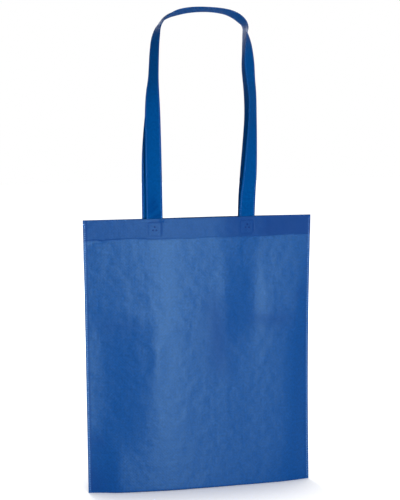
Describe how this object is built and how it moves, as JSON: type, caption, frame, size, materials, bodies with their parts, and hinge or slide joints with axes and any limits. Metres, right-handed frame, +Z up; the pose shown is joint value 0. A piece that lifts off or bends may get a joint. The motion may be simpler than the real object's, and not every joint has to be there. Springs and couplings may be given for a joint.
{
  "type": "non-woven shopping bag",
  "caption": "Flat shopping bag of spunbond non-woven fabric standing on its opened bottom fold, with a turned-in hem, welded sides and long loop handles.",
  "frame": {"origin": "middle of the bag's flat base, on the surface that it stands on", "axes": "+Z up to the mouth and handles, -Y out of the front panel, +X to the right as seen from the front"},
  "size_m": [0.3498, 0.053, 0.7318],
  "materials": {
    "panel_fabric": "royal blue spunbond polypropylene, softly satin",
    "strap_fabric": "royal blue spunbond polypropylene, folded strap with welded edges"
  },
  "bodies": {
    "root": {"bag_body": "panel_fabric", "front_handle": "strap_fabric", "back_handle": "strap_fabric"}
  },
  "joints": []
}
